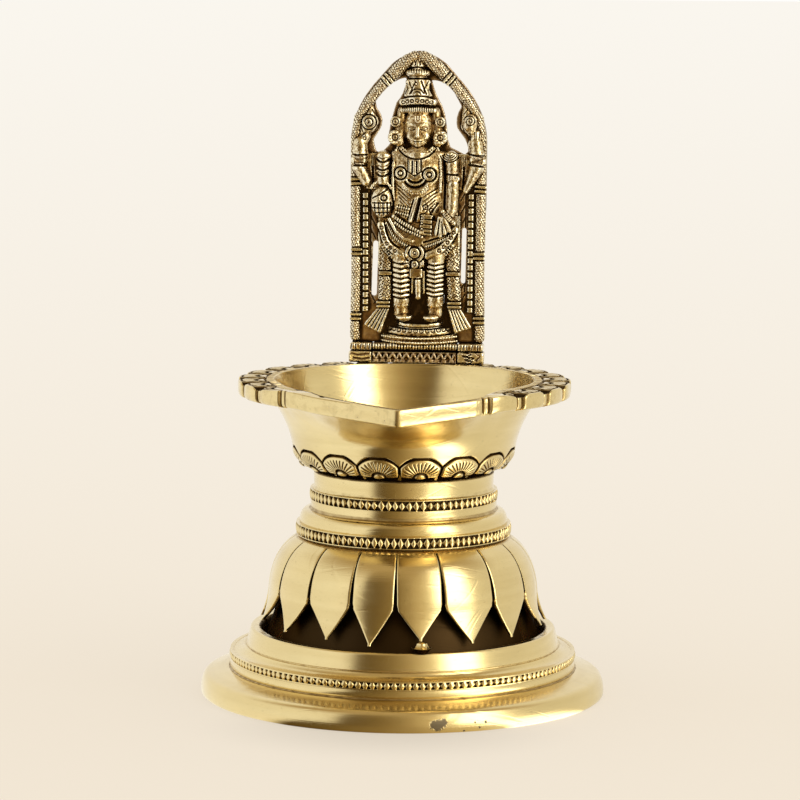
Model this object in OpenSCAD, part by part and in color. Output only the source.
// Standing oil lamp in cast and turned brass.
// A stepped foot carries a skirt of lotus petals and a turned neck. A bowl with a
// scalloped flange and a pointed spout screws into the neck, and a relief plaque of a
// standing four-armed figure under a garland arch is screwed to the back of the flange.
// Origin: centre of the foot on the table. +Z is up and the spout points to -Y.

/* [Foot] */
// Widest radius of the foot, just above the table
foot_r = 65.6; // [64:0.2:68]
// Radius of the drum that stands on the foot's first step
drum_r = 56; // [55:0.2:57]
// Height of the rim that the petals hang over
deck_z = 22; // [21.6:0.1:22.4]
// Wall thickness of the foot casting
foot_wall = 2.6; // [2.2:0.1:3]

/* [Petal skirt] */
// Number of petals sawn into the skirt
petal_count = 17; // [14:1:20]
// Turn of the first saw cut to the right of the front, in degrees
first_cut = 2.4; // [0:0.2:10]
// Radius at the petals' tips
hem_r = 47.8; // [47.4:0.1:48]
// Height of the petals' tips
hem_z = 23.4; // [23.2:0.1:24]
// Sheet thickness of the skirt
skirt_t = 1.6; // [1.4:0.1:1.8]
// Width of the saw cuts between the petals
saw_w = 0.7; // [0.4:0.1:1]
// Height at which the saw cuts open out towards the tips
fork_z = 34.6; // [33:0.2:36]

/* [Neck] */
// Radius of the neck above its bead band
neck_r = 29; // [28.6:0.1:29.4]
// Radius over the lower bead ring
ring_r = 34.8; // [34.4:0.1:35.2]
// Height of the joint between neck and bowl
seam_z = 72.9; // [72.6:0.1:73.2]

/* [Bowl] */
// Radius of the oil well at the rim
well_r = 41.8; // [41.4:0.1:42.2]
// Outer radius of the scalloped flange
flange_r = 53.6; // [53:0.1:54]
// Height of the flange's top face
flange_z = 102.4; // [102:0.1:102.8]
// Thickness of the flange
flange_t = 5.4; // [5:0.1:5.8]
// Distance from the axis to the tip of the spout
spout_r = 59.5; // [58:0.5:61]
// Turn of the spout away from the plaque's centre line, as cast, in degrees
spout_yaw = 3; // [0:0.5:4]
// Number of lobes round the flange
lobes = 20; // [16:1:24]

/* [Plaque] */
// Width of the plaque over the garlands
plaque_w = 45.6; // [45:0.2:46]
// Height of the arch above the flange
plaque_h = 104.2; // [103:0.2:105]
// Depth of the base block
base_d = 6.7; // [6.5:0.1:6.9]
// Height of the base block
base_h = 6.6; // [6.4:0.1:6.8]

/* [Fixings] */
// Nominal radius of the tie bolt and of the bowl's stud
stud_r = 3.95; // [3.92:0.01:3.98]
// Length of stud held in the neck, which is also how far the bowl rises to come free
stud_grip = 12; // [10:0.5:12]
// Radius of the two plaque screws
screw_r = 1.45; // [1.42:0.01:1.48]

/* [Hidden] */

bright = "#c9a84e";
aged = "#9a7a3a";
steel = "#8b8b86";

turned = 128;
bore_r = 4;
running_gap = 0.15;
cone_top_z = 49.6;
cone_top_r = 29;
skirt_top_z = 51.6;
skirt_top_r = 34;
plate_t = 2;
neck_foot_z = skirt_top_z + running_gap / 3;
boss_r = 8;
bolt_head_h = 5.3;
bolt_head_r = 7.4;
washer_t = 1.5;
washer_r = 9.5;
tip_half = 0.5;
tack_r = 3.3;
tack_turn = 12.3;
bowl_floor_z = 77;
rim_w = 1.9;
first_notch = 30.6;
last_notch = 316.1;
notch_r = 0.6;
notch_half = 1.25;
bowl_z = seam_z + running_gap;
stud_low_z = seam_z - stud_grip;
screw_x = 15;
screw_head_r = 2.7;
screw_head_h = 1.5;
screw_sunk = 1.8;
base_front_y = 42.9;
base_back_y = base_front_y + base_d;
screw_y = (base_front_y + base_back_y) / 2 + 0.2;
tenon_w = 30;
tenon_t = 2.4;
tenon_h = 2.6;
figure_back_y = base_back_y - 0.8;
plate_thick = 1.6;
relief_room = 14;

// Points along a quadratic curve from a to c that is drawn towards b
function bend(a, b, c, n) =
    [for (i = [0:n]) let (t = i / n) (1 - t) * (1 - t) * a + 2 * t * (1 - t) * b + t * t * c];

// A list of points in reverse order
function backwards(points) = [for (i = [len(points) - 1:-1:0]) points[i]];

// A list of points mirrored left to right
function mirrored(points) = [for (p = points) [-p[0], p[1]]];

// Foot: stepped outside, open underneath, with a plain cone inside that carries the rest
module foot_profile() {
    rim = bend([foot_r - 0.6, 0], [foot_r + 0.4, 1.6], [foot_r - 0.6, 4.2], 4);
    edge = bend([foot_r - 1.6, 6.2], [foot_r - 2.2, 7.7], [foot_r - 4, 8], 3);
    cove = bend([drum_r - 1.2, 13.9], [drum_r - 4.2, 14.2], [drum_r - 5.2, 16], 4);
    lip = bend([drum_r - 6.6, deck_z - 0.8], [drum_r - 7, deck_z + 0.4], [drum_r - 8.4, deck_z - 0.6], 4);
    outside = concat(rim, edge, [[drum_r, 8.9], [drum_r, 11.7]], cove, lip);
    recess = [[drum_r - 8.9, deck_z - 3], [44.4, deck_z - 3]];
    cone = [[41.5, 27], [cone_top_r, cone_top_z], [bore_r + 0.2, cone_top_z]];
    under_cone = [[bore_r + 0.2, cone_top_z - plate_t], [cone_top_r - foot_wall, cone_top_z - plate_t],
                  [41.5 - foot_wall, 27 - foot_wall / 2], [44.4 - foot_wall, deck_z - 3 - foot_wall]];
    under_drum = [[drum_r - 5.2 - foot_wall, deck_z - 3 - foot_wall], [drum_r - 5.2 - foot_wall, 15],
                  [drum_r - foot_wall, 11.5], [drum_r - foot_wall, 6.3]];
    under_rim = [[foot_r - 5.2, 5.2], [foot_r - 3.6, 3], [foot_r - 3.4, 0]];
    polygon(concat(outside, recess, cone, under_cone, under_drum, under_rim));
}

module foot() {
    color(bright) rotate_extrude($fn = turned) foot_profile();
}

// Petal skirt: a spun cup, turned upside down, sawn into pointed petals
function skirt_outside() = concat(
    bend([skirt_top_r, skirt_top_z], [42, 47.6], [43.5, 36], 7),
    bend([43.6, 35], [43.9, 29.5], [hem_r, hem_z], 5));

module skirt_profile() {
    outside = skirt_outside();
    inside = concat(bend([skirt_top_r, skirt_top_z - plate_t + 0.4], [42 - skirt_t, 47.6 - skirt_t],
                         [43.5 - skirt_t, 36], 7),
                    bend([43.6 - skirt_t, 35], [43.9 - skirt_t, 29.5], [hem_r - skirt_t, hem_z], 5));
    polygon(concat([[bore_r + 0.2, skirt_top_z]], outside, backwards(inside),
                   [[bore_r + 0.2, skirt_top_z - plate_t + 0.4]]));
}

// The gap between two petals: a saw cut with a small nick below it, then two nearly straight
// sides that leave a slightly blunt tip on each petal
module petal_gap() {
    reach = hem_r * sin(180 / petal_count) - tip_half;
    drop = hem_z - 1;
    nick = saw_w / 2 + 0.4;
    middle = [reach * 0.5, fork_z * 0.55 + hem_z * 0.45];
    side = concat([[saw_w * 0.3, skirt_top_z - 2.5], [saw_w / 2, fork_z + 1.2], [nick, fork_z]],
                  bend([nick, fork_z - 1], middle, [reach, hem_z + 0.1], 3), [[reach, drop]]);
    rotate([90, 0, 0]) linear_extrude(24) polygon(concat(side, backwards(mirrored(side))));
}

module petal_skirt() {
    color(bright) difference() {
        rotate_extrude($fn = turned) skirt_profile();
        for (i = [0:petal_count - 1])
            rotate([0, 0, first_cut + i * 360 / petal_count]) translate([0, -34, 0]) petal_gap();
    }
}

// Neck: a ring of beads, a rounded step, a plain drum with a bead band, and a hanging boss
module neck_profile() {
    ring = bend([ring_r - 0.9, neck_foot_z + 0.8], [ring_r + 0.9, neck_foot_z + 2.4],
                [ring_r - 0.9, neck_foot_z + 4], 5);
    step = bend([ring_r - 1.2, 56], [ring_r - 1.2, 59.4], [ring_r - 3.8, 60], 4);
    band = bend([neck_r + 1, 63.6], [neck_r + 2, 65.1], [neck_r + 0.8, 66.6], 5);
    outside = concat([[ring_r - 1.2, neck_foot_z]], ring, step, [[neck_r + 1.2, 60.4]], band,
                     [[neck_r, 67], [neck_r + 0.2, seam_z - 0.4], [neck_r - 0.3, seam_z]]);
    top = [[bore_r, seam_z], [bore_r, neck_foot_z], [boss_r, neck_foot_z], [boss_r + 0.6, seam_z - 3.4]];
    inside = [[neck_r - 3, seam_z - 3.4], [neck_r - 2.8, 60],
              [ring_r - 4.4, 56], [ring_r - 4.4, neck_foot_z]];
    polygon(concat(outside, top, inside));
}

module neck() {
    color(bright) rotate_extrude($fn = turned) neck_profile();
}

// Tie bolt: holds foot, skirt and neck together from underneath
module tie_bolt() {
    head_top = cone_top_z - plate_t - washer_t;
    shank_h = stud_low_z - 1.5 - head_top + 0.5;
    color(steel) {
        translate([0, 0, head_top - bolt_head_h]) cylinder(r = bolt_head_r, h = bolt_head_h, $fn = 6);
        translate([0, 0, head_top - 0.5]) cylinder(r = stud_r, h = shank_h, $fn = 48);
    }
}

module tie_washer() {
    color(steel) translate([0, 0, cone_top_z - plate_t - washer_t]) difference() {
        cylinder(r = washer_r, h = washer_t, $fn = 64);
        translate([0, 0, -1]) cylinder(r = bore_r + 0.3, h = washer_t + 2, $fn = 48);
    }
}

// Braze tack: a small flared drop of brass between one petal's tip and the foot's lip
module braze_tack() {
    low = deck_z - 0.1;
    top = hem_z - running_gap / 3;
    flare = concat([[0, low]], bend([tack_r, low], [1.2, low + 0.3], [1.1, top], 4), [[0, top]]);
    color(bright) rotate([0, 0, tack_turn]) translate([0, -hem_r + 0.4, 0])
        rotate_extrude($fn = 40) polygon(flare);
}

// Stud that screws the bowl into the neck
module bowl_stud() {
    top = bowl_z + 3.2;
    outline = [[0, stud_low_z], [stud_r - 0.7, stud_low_z], [stud_r, stud_low_z + 0.7],
               [stud_r, top - 0.5], [stud_r - 0.5, top], [0, top]];
    color(bright) rotate_extrude($fn = 64) polygon(outline);
}

// Plan of the spout: two lines that leave the rim and meet at the tip
module spout_plan(r, tip, spread) {
    polygon([[-r * sin(spread), -r * cos(spread)], [-2.5, -tip + 1.1], [0, -tip], [2.5, -tip + 1.1],
             [r * sin(spread), -r * cos(spread)], [0, -r * cos(spread) + 14]]);
}

// Bowl: turned sides, chased foot band, scalloped flange and a spout that dips at its tip
module bowl_outside() {
    foot_curve = bend([neck_r + 0.2, bowl_z], [neck_r + 6.6, bowl_z + 2.4], [neck_r + 7.2, 81.6], 6);
    side = bend([neck_r + 7.1, 82.2], [neck_r + 8.2, 88], [well_r + 1.4, flange_z - flange_t + 0.6], 5);
    polygon(concat([[0, bowl_z]], foot_curve, side, [[0, flange_z - flange_t + 0.6]]));
}

module bowl_inside() {
    bottom = bend([20, bowl_floor_z], [33.6, bowl_floor_z], [35.4, 84], 6);
    side = bend([35.9, 85.6], [38.6, 94], [well_r, flange_z], 5);
    polygon(concat([[0, bowl_floor_z]], bottom, side, [[well_r, flange_z + 1], [0, flange_z + 1]]));
}

module flange_plan() {
    circle(r = flange_r, $fn = turned);
    rotate(spout_yaw) spout_plan(flange_r, spout_r, 38);
}

// A pair of grooves with a rib between them parts each lobe from the next
module notches() {
    lobe = (last_notch - first_notch) / lobes;
    for (i = [0:lobes])
        for (side = [-1, 1])
            rotate(spout_yaw - 90 + first_notch + i * lobe + side * notch_half)
                translate([flange_r + 0.1, 0]) circle(r = notch_r, $fn = 16);
}

// A ring-shaped space or solid that flares outwards from low over elbow to edge
module flare(low, elbow, edge, top) {
    inner = low[0] - 8;
    rotate_extrude($fn = turned)
        polygon(concat([[inner, low[1]]], bend(low, elbow, edge, 6), [[edge[0], top], [inner, top]]));
}

// Under the spout the metal reaches out to meet the rim
module spout_belly() {
    intersection() {
        flare([36, 82.6], [39.6, 92.6], [spout_r + 1, 94.6], flange_z - flange_t + 0.5);
        translate([0, 0, 80]) linear_extrude(30)
            rotate(spout_yaw) spout_plan(flange_r - 1.2, spout_r - 0.5, 35);
    }
}

// On the spout's side the bowl leans outwards as far as a thin rim
module lean_outside() {
    intersection() {
        flare([35.2, 83], [41.5, 91.5], [52.5, 96.6], flange_z - flange_t + 0.5);
        translate([0, 0, 80]) linear_extrude(30)
            rotate(spout_yaw) polygon([[-33.5, -13], [-33.5, -60], [31, -60], [31, -17]]);
    }
}

module lean_plan() {
    intersection() {
        union() {
            circle(r = flange_r - rim_w, $fn = turned);
            rotate(spout_yaw) spout_plan(flange_r - rim_w, spout_r - 3, 38);
        }
        rotate(spout_yaw) polygon([[-31.5, -16], [-31, -34], [-28, -39], [-25, -46], [-20, -60],
                                   [20, -60], [25.5, -46.5], [27.5, -37], [29, -20]]);
    }
}

module lean_inside() {
    intersection() {
        flare([35.4, 85.5], [42.5, 94.5], [54, 100.2], flange_z + 1);
        translate([0, 0, 84]) linear_extrude(30) lean_plan();
    }
}

module spout_channel() {
    intersection() {
        flare([33.6, 86.4], [37.4, 97.2], [spout_r - 1.5, 98.4], flange_z + 1);
        translate([0, 0, 84]) linear_extrude(30)
            rotate(spout_yaw) spout_plan(well_r + 0.6, spout_r - 3, 29);
    }
}

module bowl() {
    color(bright) difference() {
        union() {
            rotate_extrude($fn = turned) bowl_outside();
            translate([0, 0, flange_z - flange_t]) linear_extrude(flange_t)
                difference() { flange_plan(); notches(); }
            spout_belly();
            lean_outside();
        }
        rotate_extrude($fn = turned) bowl_inside();
        lean_inside();
        spout_channel();
        // The rim's top falls away towards the tip
        rotate([0, 0, spout_yaw]) translate([0, -42, flange_z]) rotate([10.5, 0, 0])
            translate([-50, -40, 0]) cube([100, 40, 12]);
        translate([0, 0, bowl_z - 1]) cylinder(r = bore_r, h = 4.4, $fn = 48);
        for (side = [-1, 1]) translate([side * screw_x, screw_y, flange_z - flange_t]) {
            translate([0, 0, -1]) cylinder(r = screw_head_r + 0.3, h = screw_sunk + 1, $fn = 40);
            cylinder(r = screw_r + running_gap, h = flange_t + 1, $fn = 32);
        }
    }
}

// Plaque base: a two-tier block with end piers, tapped from below and slotted on top
module plaque_base() {
    tier = base_h / 2;
    pier = 7.2;
    color(aged) translate([0, base_front_y, flange_z]) difference() {
        union() {
            translate([-plaque_w / 2, 0, 0]) cube([plaque_w, base_d, tier]);
            translate([-plaque_w / 2 + 0.4, 0.4, tier - 0.1])
                cube([plaque_w - 0.8, base_d - 0.4, tier + 0.1]);
        }
        translate([-plaque_w / 2 + pier, -0.01, tier + 0.3])
            cube([plaque_w - 2 * pier, 0.9, tier - 1.1]);
        translate([-tenon_w / 2 - 0.05, base_d - 0.8 - tenon_t - 0.05, base_h - tenon_h - 0.1])
            cube([tenon_w + 0.1, tenon_t + 0.1, tenon_h + 1]);
        for (side = [-1, 1]) translate([side * screw_x, screw_y - base_front_y, -1])
            cylinder(r = screw_r + 0.05, h = 4.2, $fn = 32);
    }
}

module plaque_screws() {
    color(bright) for (side = [-1, 1]) translate([side * screw_x, screw_y, flange_z - flange_t]) {
        translate([0, 0, screw_sunk - screw_head_h - 0.1])
            cylinder(r = screw_head_r, h = screw_head_h, $fn = 40);
        translate([0, 0, screw_head_h]) cylinder(r = screw_r, h = flange_t + 1.4, $fn = 32);
    }
}

// Figure plaque, drawn in its own frame: x across, y up from the flange, z towards the viewer
module at_plaque() {
    translate([0, figure_back_y, flange_z]) rotate([90, 0, 0]) children();
}

function arch_half() = concat(
    [[plaque_w / 2 - 1, base_h], [plaque_w / 2 - 1.4, 30], [plaque_w / 2, 46]],
    bend([plaque_w / 2, 76], [plaque_w / 2 - 0.4, 86], [13.2, 95], 6),
    bend([9, 100], [5.6, 103], [2.4, plaque_h - 0.3], 3));

module arch_plan() {
    polygon(concat(arch_half(), [[0, plaque_h]], backwards(mirrored(arch_half()))));
}

// The two tall windows beside the crown and head
module arch_window() {
    polygon(concat(bend([4.6, 95], [11, 94], [14, 86.4], 4),
                   [[13, 80], [16.2, 74], [15.2, 70], [10, 73], [8.6, 80]],
                   bend([8.2, 84], [6, 88], [4.4, 90], 3)));
}

module side_slit(x, low, high) {
    hull() {
        translate([x, low]) circle(r = 0.8, $fn = 16);
        translate([x + 0.4, high]) circle(r = 0.8, $fn = 16);
    }
}

// A limb that tapers between two round ends
module limb(a, ra, b, rb) {
    hull() {
        translate(a) sphere(r = ra, $fn = 12);
        translate(b) sphere(r = rb, $fn = 12);
    }
}

module pad(a, size) {
    translate(a) scale(size) sphere(r = 1, $fn = 16);
}

module garlands(side) {
    for (s = [[[21, 9, 1.6], 1.7, [20.6, 32, 1.6], 1.8], [[20.6, 32, 1.6], 1.8, [21, 76, 1.6], 1.9],
              [[21, 76, 1.6], 1.9, [17.6, 86.5, 1.8], 1.9], [[17.6, 86.5, 1.8], 1.9, [7.4, 98, 2], 2.2],
              [[17.3, 17, 1.6], 1, [17.6, 57, 1.6], 1.1]])
        limb([side * s[0][0], s[0][1], s[0][2]], s[1], [side * s[2][0], s[2][1], s[2][2]], s[3]);
}

module plaque_arms(side) {
    // raised rear arm with its wheel or shell, then the front arm
    limb([side * 15.6, 61.5, 2.4], 1.9, [side * 19.2, 69, 2.8], 2);
    limb([side * 19.2, 69, 2.8], 2, [side * 18.6, 74.5, 3.4], 1.7);
    translate([side * 17, 80.4, 1.2]) cylinder(r = 2.7, h = 3, $fn = 24);
    limb([side * 10.6, 69.5, 3.2], 2.4, [side * 12, 59.5, 4.4], 2.2);
}

module plaque_figure() {
    // crown
    pad([0, 100.2, 2.4], [4.2, 3.4, 3]);
    pad([0, 96.6, 3], [4.6, 1.6, 3.6]);
    translate([0, 88, 3]) rotate([-90, 0, 0]) cylinder(r1 = 5.6, r2 = 4, h = 7.5, $fn = 28);
    pad([0, 87.6, 3.4], [6.6, 1.5, 4.2]);
    pad([0, 85.2, 3.6], [5.8, 1.1, 4.2]);
    // head, ears and shoulders
    pad([0, 78.6, 3.8], [5.2, 6.6, 4.6]);
    for (side = [-1, 1]) {
        translate([side * 7.4, 80.4, 1.4]) cylinder(r = 1.8, h = 3.6, $fn = 20);
        translate([side * 7.6, 75.4, 1.4]) cylinder(r = 2.4, h = 3.2, $fn = 24);
        limb([0, 69.6, 3], 3, [side * 9.8, 69.6, 3], 2.6);
        plaque_arms(side);
        // leg, sash and tassel
        limb([side * 4.6, 36, 3.6], 3.8, [side * 4.4, 19, 3.4], 3);
        pad([side * 4.6, 15.2, 4.6], [3, 1.7, 4]);
        limb([side * 11, 36, 2], 2.2, [side * 12.4, 18, 2], 2.2);
        limb([side * 12.6, 16.6, 2.2], 1.9, [side * 15.4, 11.4, 2.2], 2.4);
    }
    // chest, waist, apron swag and its clasp
    limb([0, 66, 3.2], 5, [0, 46, 3.2], 5.2);
    limb([-9, 43, 3], 2.6, [0, 36.6, 4.6], 3);
    limb([9, 43, 3], 2.6, [0, 36.6, 4.6], 3);
    pad([0, 36.6, 6.4], [3.4, 2.2, 1.6]);
    pad([0, 33, 6], [2.4, 1.8, 1.5]);
    limb([0.3, 31, 3.6], 1.6, [0.3, 21.5, 2.4], 1.5);
    // blessing hand and the hand on the hip
    pad([-12.2, 54, 5], [3.6, 5.2, 1.7]);
    limb([11.6, 59.4, 4.4], 2.1, [9.4, 48.6, 5.4], 2.2);
    limb([9.4, 48.6, 5.4], 2.2, [3.4, 46.2, 5.8], 2);
}

// Lotus pedestal under the feet, widest at its bead tier
module plaque_pedestal() {
    for (s = [[base_h, 12.6, 2.4], [9, 10.6, 3.2], [12, 8.4, 1.8]])
        translate([0, s[0], 1.6]) rotate([-90, 0, 0]) scale([1, 0.42, 1])
            cylinder(r = s[1], h = s[2], $fn = 36);
}

module figure_plaque() {
    color(aged) at_plaque() intersection() {
        translate([-plaque_w, 0, 0]) cube([2 * plaque_w, plaque_h + 2, relief_room]);
        union() {
            linear_extrude(plate_thick) difference() {
                arch_plan();
                for (side = [0, 1]) mirror([side, 0]) arch_window();
                side_slit(-14.8, 23, 39.8);
                side_slit(15.1, 27.4, 44.4);
            }
            translate([-tenon_w / 2, base_h - tenon_h, 0]) cube([tenon_w, tenon_h + 1, tenon_t]);
            for (side = [-1, 1]) garlands(side);
            plaque_pedestal();
            plaque_figure();
        }
    }
}

foot();
petal_skirt();
neck();
tie_bolt();
tie_washer();
braze_tack();
bowl_stud();
bowl();
plaque_base();
plaque_screws();
figure_plaque();
